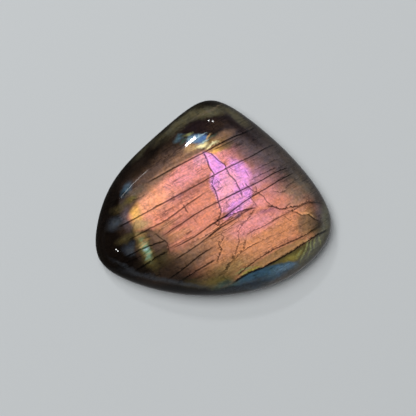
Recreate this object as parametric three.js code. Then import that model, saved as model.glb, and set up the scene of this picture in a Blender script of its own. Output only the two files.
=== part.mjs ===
// A labradorite cabochon: one polished stone with a rounded three-cornered outline, a domed front
// and a flat, bevelled back. Millimetres, +Z up out of the dome, +X along the stone's length.
// The origin is on the flat back, in the middle of the outline's length and width.
import * as THREE from 'three';

// Driving dimensions
const LENGTH = 43.0;
const WIDTH = 35.7;
const THICKNESS = 10.0;
const GIRDLE_HEIGHT = 2.0; // the widest line of the stone, above its flat back
const WALL_FOOT = 0.85; // height where the side wall ends and the back bevel begins
const WALL_LEAN = 0.18; // how far the side wall's foot stands inside the girdle
const BEVEL_WIDTH = 0.8; // of the bevel between the side wall and the flat back
const CROWN_FULLNESS = 0.3; // 0 is an ellipsoid's crown; more is flatter on top and steeper at the rim

// The outline is a circle drawn out into lobes: how many, how far, and towards which bearing from +X.
// Two lobes make it oval, three give it its corners, and the small ones make the corners uneven.
const LOBES = [
  { count: 2, reach: 0.171, bearing: 4.5 },
  { count: 3, reach: 0.180, bearing: -28.8 },
  { count: 4, reach: 0.058, bearing: 1.0 },
  { count: 5, reach: 0.023, bearing: 13.5 },
  { count: 6, reach: 0.013, bearing: -26.5 },
  { count: 7, reach: 0.0075, bearing: -4.0 },
];

// How finely the surface is divided
const SPOKES = 88;
const DOME_RINGS = 24;
const WALL_RINGS = 3;

const stone = new THREE.MeshStandardMaterial({ color: 0x6e5548, roughness: 0.12, metalness: 0 });

// Height share of the dome at a point given by its distance and bearing from the crown. It is 1 at the
// crown and 0 on the outline, and its contours turn from the outline's corners to an oval at the top.
function swell(distance, bearing) {
  let level = 1 - distance ** 2;
  for (const lobe of LOBES) {
    const offset = lobe.count * (bearing - THREE.MathUtils.degToRad(lobe.bearing));
    level += lobe.reach * distance ** lobe.count * Math.cos(offset);
  }
  return level;
}

// Distance from the crown to the outline at a bearing, where the swell falls to 0.
function reachOfOutline(bearing) {
  let inside = 0;
  let outside = 1.6;
  for (let halving = 0; halving < 40; halving += 1) {
    const middle = (inside + outside) / 2;
    if (swell(middle, bearing) > 0) inside = middle;
    else outside = middle;
  }
  return (inside + outside) / 2;
}

// The outline's own box, which sets the scale to the stone's length and width.
function outlineBox() {
  const box = new THREE.Box2();
  for (let step = 0; step < SPOKES; step += 1) {
    const bearing = (step / SPOKES) * 2 * Math.PI;
    const reach = reachOfOutline(bearing);
    box.expandByPoint(new THREE.Vector2(reach * Math.cos(bearing), reach * Math.sin(bearing)));
  }
  return box;
}

function domeHeight(level) {
  const full = Math.max(level, 0) * (1 + CROWN_FULLNESS * (1 - level));
  return GIRDLE_HEIGHT + (THICKNESS - GIRDLE_HEIGHT) * Math.sqrt(full);
}

// The side of the stone from the middle of its back to the crown, as shares of the outline's reach:
// x is the share and y the height. The dome's heights are set later, point by point.
function profile() {
  const meanRadius = (LENGTH + WIDTH) / 4;
  const share = (inset) => 1 - inset / meanRadius;
  const points = [new THREE.Vector2(0, 0), new THREE.Vector2(share(WALL_LEAN + BEVEL_WIDTH), 0)];
  for (let ring = 0; ring < WALL_RINGS; ring += 1) {
    const up = ring / WALL_RINGS;
    const lean = WALL_LEAN * (1 - up) ** 2;
    points.push(new THREE.Vector2(share(lean), THREE.MathUtils.lerp(WALL_FOOT, GIRDLE_HEIGHT, up)));
  }
  for (let ring = 0; ring < DOME_RINGS; ring += 1) {
    const rise = (ring / DOME_RINGS) * (Math.PI / 2);
    points.push(new THREE.Vector2(Math.cos(rise), GIRDLE_HEIGHT));
  }
  points.push(new THREE.Vector2(0, GIRDLE_HEIGHT));
  return points;
}

// The profile is turned round the crown's axis, then each point is moved out to the stone's outline
// and, on the dome, up to its height.
function cabochonGeometry() {
  const geometry = new THREE.LatheGeometry(profile(), SPOKES);
  geometry.rotateX(Math.PI / 2);
  const box = outlineBox();
  const middle = box.getCenter(new THREE.Vector2());
  const size = box.getSize(new THREE.Vector2());
  const position = geometry.getAttribute('position');
  for (let i = 0; i < position.count; i += 1) {
    const bearing = Math.atan2(position.getY(i), position.getX(i));
    const share = Math.hypot(position.getX(i), position.getY(i));
    const reach = share * reachOfOutline(bearing);
    const onDome = position.getZ(i) > GIRDLE_HEIGHT - 1e-6;
    position.setXYZ(
      i,
      ((reach * Math.cos(bearing) - middle.x) * LENGTH) / size.x,
      ((reach * Math.sin(bearing) - middle.y) * WIDTH) / size.y,
      onDome ? domeHeight(swell(reach, bearing)) : position.getZ(i),
    );
  }
  geometry.computeVertexNormals();
  return geometry;
}

const cabochon = new THREE.Mesh(cabochonGeometry(), stone);
cabochon.name = 'cabochon';

const part = new THREE.Group();
part.add(cabochon);
export default part;
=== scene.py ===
import math
from collections import namedtuple

import bpy
import numpy as np
from bpy.props import FloatProperty, FloatVectorProperty, IntProperty, PointerProperty
from mathutils import Matrix, Vector


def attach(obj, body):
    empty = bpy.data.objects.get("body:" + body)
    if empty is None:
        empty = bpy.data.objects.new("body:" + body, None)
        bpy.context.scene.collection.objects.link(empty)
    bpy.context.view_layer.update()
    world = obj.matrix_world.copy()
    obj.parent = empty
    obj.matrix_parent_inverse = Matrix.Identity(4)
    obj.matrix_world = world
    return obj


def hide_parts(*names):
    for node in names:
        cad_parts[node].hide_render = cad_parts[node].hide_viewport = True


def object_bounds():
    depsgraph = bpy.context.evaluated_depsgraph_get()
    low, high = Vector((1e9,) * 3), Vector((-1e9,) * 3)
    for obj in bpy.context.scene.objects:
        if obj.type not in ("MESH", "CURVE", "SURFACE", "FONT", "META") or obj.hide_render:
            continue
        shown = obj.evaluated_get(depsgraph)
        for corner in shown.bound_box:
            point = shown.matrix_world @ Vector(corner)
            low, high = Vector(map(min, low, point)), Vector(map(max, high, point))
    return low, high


bl_info = {
    "name": "Labradorite Cabochon",
    "version": (1, 0, 0),
    "blender": (4, 5, 0),
    "location": "View3D > Sidebar > Cabochon",
    "description": "Cuts and polishes a labradorite cabochon and sets it out under soft light",
    "category": "Object",
}

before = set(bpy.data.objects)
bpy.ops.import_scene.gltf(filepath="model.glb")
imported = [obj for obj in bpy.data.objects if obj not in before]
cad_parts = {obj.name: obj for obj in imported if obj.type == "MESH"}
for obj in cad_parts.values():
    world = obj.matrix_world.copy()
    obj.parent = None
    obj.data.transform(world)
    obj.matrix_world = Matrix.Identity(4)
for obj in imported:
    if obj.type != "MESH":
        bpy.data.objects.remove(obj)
CAD_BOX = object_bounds()

MM = 0.001

# Where the picture is taken from, in mm and in the photograph's pixels. Its scale is that of the
# stone's widest line, the girdle, and its middle is that of the stone's length and width.
IMAGE_SIDE = 416.0
PHOTO_PIXELS_PER_MM = 5.477
PHOTO_STONE_MIDDLE = (213.35, 198.1)
GIRDLE_HEIGHT = 2.0
CAMERA_DISTANCE = 300.0
NEAREST_SEEN = 10.0
SENSOR_WIDTH = 36.0

# The board lies a hair below the stone's flat back, in mm, so that the two never share a plane
BOARD_HALF_SIDE = 2500.0
BOARD_GAP = 0.01

# The lamps, in mm. All but the overhead one are placed by where on the dome they are mirrored.
OVERHEAD_PLACE = Vector((-300, 300, 1200))
OVERHEAD_SIZE = (900, 900)
LAMP_DISTANCE = 600
LEVEL_ACROSS = Vector((1, 0, 0))
KEY_PLACE = (-4.0, 10.2)
KEY_ACROSS = Vector((0.77, 0.64, 0))
KEY_SIZE = (70, 36)
STREAK_ENDS = ((-11.8, 4.9), (-16.6, 0.1))
STREAK_WIDTH = 7
STREAK_RADIANCE = 8
DOT_PLACES = ((-0.85, 13.9), (-0.1, 13.8), (-17.5, -9.25), (-17.2, -9.55))
DOT_SIZE = (15, 15)
DOT_RADIANCE = 36

# How bright the room is by how far up one looks: 0 is straight down and 1 straight up
ROOM_BELOW = (0.34, 0.34, 0.35, 1)
ROOM_ABOVE = (0.03, 0.03, 0.03, 1)
ROOM_LEVELS = (
    (0.06, 0.26),
    (0.14, 0.18),
    (0.42, 0.15),
    (0.5, 0.3),
    (0.54, 0.2),
    (0.62, 0.07),
    (0.8, 0.03),
)
# It is brighter towards its right side, and so is the stone's thin edge there
ROOM_BRIGHT_SIDE = (0.95, -0.3, 0)
ROOM_DIMMEST = 0.1
ROOM_BRIGHTEST = 1.4

# The mesh of the stone's side, in mm, and the two finishes by their number on the mesh
WALL_STEPS = 8
EDGE_ROUNDING = 0.12
ROUNDING_STEPS = 4
POLISHED, LAPPED = 0, 1

# The outline is a circle drawn out into lobes: how many, how far, and towards which bearing from +X.
Lobe = namedtuple("Lobe", "count reach bearing")
LOBES = (
    Lobe(2, 0.171, 4.5),
    Lobe(3, 0.180, -28.8),
    Lobe(4, 0.058, 1.0),
    Lobe(5, 0.023, 13.5),
    Lobe(6, 0.013, -26.5),
    Lobe(7, 0.0075, -4.0),
)

# The stone's layers break along planes that all run this way, in degrees from +X
CLEAVAGE_BEARING = 29.0
LABRADORITE_IOR = 1.56

# Noise seldom leaves these bounds, so a pattern is stretched between them
NOISE_LOW, NOISE_HIGH = 0.36, 0.64
WIDE_NOISE_LOW, WIDE_NOISE_HIGH = 0.35, 0.65

# Two kinds of coloured mark, in mm from the stone's middle: a soft ellipse, and a straight-sided
# patch with its corners anticlockwise. Each has an edge that it takes to fade: a share of its size
# for the ellipse, and mm for the patch.
Zone = namedtuple("Zone", "x y half_length half_width bearing edge strength tone")
Patch = namedtuple("Patch", "corners edge strength tone")

# The smoky body, where the stone doesn't flash. It is near black at the left and browner
# towards the flash; along the left rim that near black is partly the body's own and partly painted shade.
BODY_MARKS = (
    Zone(13.0, 1.0, 14.0, 10.0, -48, 0.5, 1.0, "smoke"),
    Patch(((-14.9, -3.0), (-1.0, 8.0), (-1.5, 12.4), (-6.5, 12.2), (-17.0, 3.0)), 2.6, 0.9, "umber"),
    Patch(((-14.9, -3.0), (-1.0, 8.0), (-3.0, 10.8), (-9.0, 7.6), (-15.6, 1.6)), 1.6, 0.9, "cocoa"),
    Patch(((-13.9, -3.0), (-1.0, 7.0), (-3.4, 9.9), (-8.0, 6.3), (-13.4, 0.9)), 1.2, 0.9, "fawn"),
    Zone(7.8, 7.8, 6.0, 2.2, -42, 0.8, 0.9, "mauve_grey"),
    Zone(15.6, 1.4, 2.6, 1.8, -50, 0.8, 0.9, "drab"),
    Zone(5.2, 12.6, 5.0, 1.3, -38, 0.8, 0.9, "plum_black"),
    Zone(-1.8, 12.9, 5.4, 1.3, 8, 0.7, 1.0, "plum_black"),
    Zone(0.6, 13.0, 1.8, 0.8, 12, 0.9, 0.8, "umber"),
    Zone(-1.2, 15.4, 3.4, 0.9, 12, 0.8, 0.9, "lichen"),
    Zone(-6.6, 12.9, 4.0, 0.8, 42, 0.8, 0.9, "lichen"),
    Zone(-12.3, 9.2, 3.0, 0.5, 46, 0.9, 0.4, "lichen"),
    Zone(4.3, 14.8, 2.4, 0.7, -40, 0.8, 0.8, "lichen"),
    # Painted shade over the body's own dark: the left side near black towards its rim
    Zone(-10.6, 8.4, 4.8, 0.6, 46, 0.9, 0.9, "soot"),
    Zone(-16.2, 3.6, 2.8, 0.9, 50, 0.9, 0.8, "soot"),
    Zone(-16.8, -4.2, 2.0, 0.9, 29, 0.9, 1.0, "slate"),
    Zone(-15.7, -5.7, 1.3, 1.0, 0, 0.9, 0.8, "umber"),
    Zone(-15.6, -3.4, 0.8, 2.2, 15, 0.9, 0.9, "mauve_grey"),
    Zone(-16.4, -1.6, 1.7, 0.6, 29, 0.9, 0.7, "olive_brown"),
    Zone(-15.6, -7.2, 1.6, 0.6, 29, 0.9, 0.8, "olive_brown"),
    Zone(-14.8, -9.1, 1.2, 0.9, 29, 0.9, 0.9, "slate"),
    Zone(-15.6, 1.4, 1.2, 0.6, 60, 0.9, 0.8, "steel_blue"),
    Zone(-15.9, 0.6, 0.5, 0.5, 60, 0.9, 0.9, "soot"),
    Zone(-14.0, 1.0, 1.6, 0.6, 38, 0.8, 0.8, "drab"),
    Zone(-14.7, -0.3, 1.1, 0.4, 35, 0.8, 0.9, "olive"),
    Zone(-6.0, -13.2, 5.0, 1.7, 20, 0.8, 0.8, "umber"),
    Zone(-1.2, -15.2, 3.4, 1.0, 4, 0.8, 0.9, "olive_brown"),
    Zone(17.9, -1.2, 1.6, 0.6, 4, 0.9, 0.9, "umber"),
    Zone(18.8, -2.6, 1.0, 1.2, 0, 0.8, 0.8, "mauve_grey"),
)

# The broad flash. Its colour goes from apricot at the left through rose to tan at the lower edge.
FLASH_MARKS = (
    Zone(8.6, -7.6, 9.5, 3.8, 27, 0.7, 1.0, "tangerine"),
    Zone(-0.4, -8.4, 6.4, 2.2, 29, 0.8, 1.0, "tan"),
    Zone(0.2, -8.8, 3.4, 1.3, 12, 0.8, 0.9, "tangerine"),
    Zone(-7.8, -6.8, 1.4, 0.6, 29, 0.8, 0.9, "tangerine"),
    Zone(-5.2, -11.4, 5.6, 2.4, 29, 0.7, 1.0, "bronze"),
    Zone(2.2, -13.0, 5.4, 1.9, 20, 0.8, 1.0, "ochre"),
    Zone(-10.4, 0.2, 5.4, 2.4, 33, 0.6, 1.0, "apricot"),
    Zone(-4.6, 4.4, 4.6, 1.9, 33, 0.7, 1.0, "rose"),
    Zone(-2.2, 7.0, 1.5, 1.1, 30, 0.6, 1.0, "pale_pink"),
    Zone(-4.3, 1.3, 3.2, 1.1, 29, 0.5, 1.0, "brick"),
    Zone(-6.9, 0.0, 2.0, 0.6, 29, 0.6, 0.8, "old_rose"),
    Zone(-4.3, 5.3, 0.6, 0.5, 60, 0.7, 0.8, "old_rose"),
    Zone(-1.9, 2.9, 1.3, 0.7, 29, 0.7, 0.7, "brick"),
    Zone(-9.0, -5.2, 2.4, 0.8, 29, 0.7, 0.9, "tan"),
    Zone(-5.6, -4.2, 2.2, 0.7, 29, 0.7, 0.8, "brick"),
    Zone(-6.3, -6.8, 2.6, 0.8, 29, 0.7, 0.8, "tan"),
    Zone(-14.0, -2.6, 1.1, 2.4, 15, 0.7, 1.0, "gold"),
    Zone(-13.3, -4.9, 1.9, 0.8, 15, 0.8, 1.0, "straw"),
    Zone(2.6, 8.0, 2.2, 1.3, 20, 0.7, 1.0, "rose"),
    Zone(0.6, 8.5, 1.3, 0.5, 22, 0.7, 1.0, "gold"),
    Zone(2.6, 9.8, 1.8, 0.8, 29, 0.8, 1.0, "ochre"),
    Zone(5.8, 8.0, 2.0, 1.2, -45, 0.9, 0.9, "dusky_rose"),
    Zone(9.6, 4.4, 3.6, 1.5, -42, 0.9, 0.9, "dusky_rose"),
    Zone(10.6, 1.0, 3.0, 1.6, -20, 0.9, 0.8, "old_rose"),
    Zone(14.2, 0.6, 2.4, 1.8, -35, 0.9, 0.9, "pale_brown"),
    Zone(12.0, -0.3, 1.8, 0.7, 10, 0.8, 0.8, "salmon"),
    Zone(9.8, -2.5, 2.8, 0.8, 8, 0.7, 1.0, "brick"),
    Zone(8.4, -0.9, 1.7, 0.7, 20, 0.8, 0.9, "rose"),
    Zone(7.2, -4.7, 4.4, 1.5, 24, 0.7, 1.0, "rose"),
    Zone(9.5, -2.4, 1.5, 0.4, 12, 0.8, 0.6, "wine"),
    Zone(13.0, -5.6, 3.0, 1.2, 29, 0.8, 0.9, "tangerine"),
    Zone(16.9, -4.4, 1.5, 2.8, -10, 0.8, 0.9, "ochre"),
    Zone(19.0, -5.2, 1.7, 2.6, 10, 0.8, 0.9, "olive"),
    Patch(((15.3, -6.2), (18.2, -5.4), (18.8, -3.7), (16.4, -2.9), (15.1, -3.4)), 0.4, 0.6, "bronze"),
)

# The violet heart of the flash. Cracks bound it.
VIOLET_MARKS = (
    Zone(7.4, 3.6, 1.3, 2.6, -30, 0.9, 0.8, "mauve"),
    Patch(((-0.6, 4.4), (-0.4, 2.5), (1.4, -2.6), (5.0, -2.4), (6.9, -0.9), (6.6, 1.4), (6.2, 3.4),
           (5.3, 6.6), (4.4, 6.6)), 0.6, 1.0, "pink"),
    Zone(4.7, 5.0, 2.2, 1.2, -48, 0.6, 1.0, "orchid"),
    Zone(0.4, 3.1, 0.8, 1.6, 0, 0.7, 1.0, "orchid"),
    Zone(4.9, 1.6, 0.8, 1.3, -40, 0.7, 0.9, "orchid"),
    Zone(6.2, 0.9, 0.8, 1.1, -10, 0.6, 1.0, "orchid"),
    Zone(4.2, -1.2, 1.5, 0.7, 32, 0.6, 1.0, "orchid"),
    Zone(2.3, 1.4, 0.9, 1.6, -20, 0.8, 1.0, "pale_pink"),
    Zone(3.2, 3.4, 0.7, 1.2, -30, 0.8, 0.9, "pale_pink"),
    Zone(1.6, -1.2, 0.9, 1.0, -20, 0.8, 0.7, "rose"),
    Patch(((-2.0, 8.2), (-0.6, 5.4), (0.2, 4.2), (2.4, 5.4), (0.4, 7.5), (-0.8, 8.1)), 0.35, 1.0, "orchid"),
    Zone(-0.9, 7.3, 0.9, 0.5, -60, 0.8, 0.7, "pink"),
    Patch(((2.6, -3.9), (5.2, -2.9), (7.9, -1.5), (7.6, -0.9), (4.6, -2.2), (2.4, -3.2)), 0.8, 0.5, "wine"),
    Zone(3.6, -2.7, 1.6, 0.4, 25, 0.6, 0.9, "orchid"),
    Zone(4.4, -3.3, 0.6, 0.3, 40, 0.8, 0.7, "mauve"),
)

# Small sharp-edged flashes round the broad one. They shine gold, green or blue, as the layers
# there are closer together.
EDGE_MARKS = (
    Zone(-10.2, -12.8, 3.6, 2.0, 16, 0.7, 0.9, "umber"),
    Patch(((-13.6, -6.2), (-14.2, -9.5), (-13.2, -11.5), (-8.9, -11.6), (-8.0, -9.6),
           (-8.4, -7.9), (-9.4, -6.8), (-10.5, -6.0), (-11.6, -5.4)), 0.7, 1.0, "umber"),
    Zone(-10.2, -8.0, 2.6, 2.2, 10, 0.7, 0.9, "taupe"),
    Zone(-10.0, -6.9, 1.5, 0.8, -35, 0.8, 0.7, "bronze"),
    Zone(-9.6, -11.0, 3.2, 1.2, 25, 0.9, 0.8, "olive_brown"),
    Zone(-13.2, -13.0, 3.6, 1.6, 20, 0.9, 0.9, "soot"),
    Patch(((-12.3, -6.6), (-10.6, -6.4), (-9.6, -7.4), (-10.6, -8.6), (-12.0, -8.2)), 1.0, 0.7, "bronze"),
    Zone(-12.3, -8.8, 3.3, 0.9, -66, 0.9, 1.0, "olive"),
    Zone(-12.2, -9.0, 2.0, 0.55, -66, 0.9, 0.9, "sage"),
    Zone(-13.0, -6.8, 1.0, 0.4, 29, 0.9, 0.9, "ochre"),
    Zone(-12.4, -7.8, 1.0, 0.2, 29, 0.9, 0.9, "ochre"),
    Zone(-11.9, -9.4, 1.1, 0.4, -62, 0.9, 0.9, "sea_green"),
    Zone(-12.1, -9.1, 0.5, 0.14, 29, 0.9, 0.9, "ice_blue"),
    Zone(-12.6, -8.4, 0.7, 0.12, 29, 0.8, 0.7, "straw"),
    Zone(-11.5, -9.9, 0.7, 0.12, 29, 0.8, 0.5, "straw"),
    Zone(-11.6, -10.6, 0.6, 0.14, 29, 0.8, 0.6, "sea_green"),
    Patch(((9.0, -12.6), (14.5, -11.8), (17.4, -9.4), (17.0, -7.8), (13.6, -9.9)), 0.7, 1.0, "olive"),
    Zone(14.6, -10.5, 1.8, 0.5, 29, 0.7, 0.9, "olive_gold"),
    Patch(((4.0, -13.9), (6.5, -13.6), (13.7, -9.9), (17.2, -7.6), (15.4, -7.4), (10.1, -9.9), (6.7, -12.2)),
          0.5, 0.8, "ochre"),
    Patch(((3.4, -15.6), (8.0, -17.0), (14.5, -13.6), (15.8, -12.0), (13.6, -11.5), (10.5, -12.1),
           (7.6, -12.8), (5.2, -13.9)), 0.6, 1.0, "steel_blue"),
    Zone(12.6, -12.5, 1.9, 0.5, 20, 0.8, 0.9, "sky"),
    Zone(6.8, -15.6, 3.6, 0.8, 12, 0.8, 1.0, "navy"),
    Zone(6.8, -13.0, 1.8, 0.25, 27, 0.6, 1.0, "olive_gold"),
    Zone(1.4, -14.9, 2.6, 0.8, 12, 0.8, 1.0, "olive"),
    Zone(2.2, -15.6, 2.0, 0.6, 14, 0.8, 0.8, "sea_green_dark"),
    Zone(-3.9, 8.9, 1.2, 0.6, 29, 0.9, 0.8, "straw"),
    Patch(((-4.8, 10.0), (-3.2, 9.8), (-1.4, 10.1), (-1.0, 10.9), (-2.6, 11.4), (-4.4, 11.2)),
          0.7, 0.9, "sky"),
    Zone(-2.3, 10.5, 1.0, 0.4, 24, 0.6, 0.9, "cobalt"),
    Zone(-6.2, 10.7, 0.9, 0.4, 40, 0.9, 0.8, "slate_blue"),
    Zone(-5.4, 10.2, 0.6, 0.2, 50, 0.9, 0.8, "sea_green_dark"),
    Zone(-4.6, 11.4, 0.8, 0.14, 25, 0.9, 0.8, "celadon"),
    Zone(-5.4, 11.1, 0.7, 0.16, 20, 0.9, 0.7, "soot"),
    Zone(-3.0, 11.1, 1.4, 0.12, 14, 0.8, 0.8, "ice_blue"),
    Zone(-1.9, 9.95, 1.1, 0.14, 20, 0.8, 0.8, "ice_blue"),
    Zone(-0.9, 10.8, 0.7, 0.2, 50, 0.9, 0.9, "straw"),
    Zone(-0.2, 10.9, 0.8, 0.2, 40, 0.9, 0.7, "sea_green_dark"),
    Zone(-2.1, 9.3, 1.2, 0.35, 18, 0.6, 1.0, "cream"),
    Zone(0.4, 10.1, 1.7, 0.55, 29, 0.8, 0.9, "ochre"),
    Zone(-0.2, 9.5, 1.1, 0.22, 29, 0.7, 0.9, "cream"),
    Zone(0.2, 8.9, 1.2, 0.25, 29, 0.8, 0.8, "ochre"),
    Zone(1.7, 11.2, 1.6, 0.5, 20, 0.9, 0.9, "bronze"),
    Zone(5.6, -12.9, 1.6, 0.16, 24, 0.8, 0.8, "celadon"),
    Zone(4.9, -12.1, 0.5, 0.2, 40, 0.9, 0.7, "straw"),
)

# Between these heights, in mm, the colours fade into the thin rim's, down to a quarter of themselves
RIM_TOP = 4.8
RIM_FOOT = 2.4
RIM_STRENGTH = 0.75

# The thin rim is nearly black. At the right and lower right it is paler with painted light, as if let
# through it. Along its foot lie painted reflections in slate, and near its top one in drab.
# Pale feathers of flash reach over it at the lower right.
RIM_PAINTED_LIGHT_AND_FEATHERS = (
    # Painted light: the rim made paler at the right and lower right, as if light came through it
    Zone(18.0, -9.2, 4.4, 1.0, 52, 0.9, 0.8, "painted_rim_light"),
    Zone(12.4, -14.3, 3.6, 0.6, 28, 0.9, 0.7, "drab"),
    Zone(20.5, -3.4, 3.0, 0.7, 86, 0.9, 0.6, "painted_rim_light"),
    # Painted reflections: faint slate bands along the rim's foot
    Zone(4.2, -16.6, 6.0, 0.4, 8, 0.9, 0.6, "slate"),
    Zone(-8.0, -14.9, 6.4, 0.4, -12, 0.9, 0.6, "slate"),
    Zone(-15.9, -12.4, 2.4, 0.3, -30, 0.9, 0.4, "slate"),
    # Painted reflection: a thin drab line near the top of the rim
    Zone(-0.8, 15.8, 3.0, 0.16, 30, 0.9, 0.5, "drab"),
    Zone(16.4, -9.4, 1.9, 0.18, 71, 0.8, 0.9, "celadon"),
    Zone(17.5, -8.7, 1.4, 0.15, 80, 0.8, 0.9, "celadon"),
    Zone(18.3, -8.1, 1.0, 0.14, 88, 0.8, 0.8, "celadon"),
    Zone(19.2, -7.5, 0.8, 0.13, -66, 0.8, 0.7, "celadon"),
    Zone(15.3, -9.9, 1.0, 0.12, 60, 0.8, 0.6, "celadon"),
)

# The straight sides of the flash, each through two points in mm with the flash on its right,
# and how many mm it takes to fade there.
Side = namedtuple("Side", "start end fade")
FLASH_SIDES = (
    Side((-13.8, -6.0), (-15.3, -3.2), 1.4),
    Side((-15.4, -2.9), (-12.7, 0.6), 1.4),
    Side((-14.0, -1.3), (-8.2, 4.0), 1.4),
    Side((-8.8, 4.6), (-0.4, 9.0), 0.8),
    Side((-4.2, 9.4), (4.8, 10.9), 1.4),
    Side((3.2, 8.7), (20.0, -2.8), 4.6),
    Side((17.7, 2.0), (18.5, -7.0), 3.0),
    Side((20.0, -6.2), (4.8, -14.6), 0.6),
    Side((5.0, -15.4), (-11.0, -9.4), 6.0),
)

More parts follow.
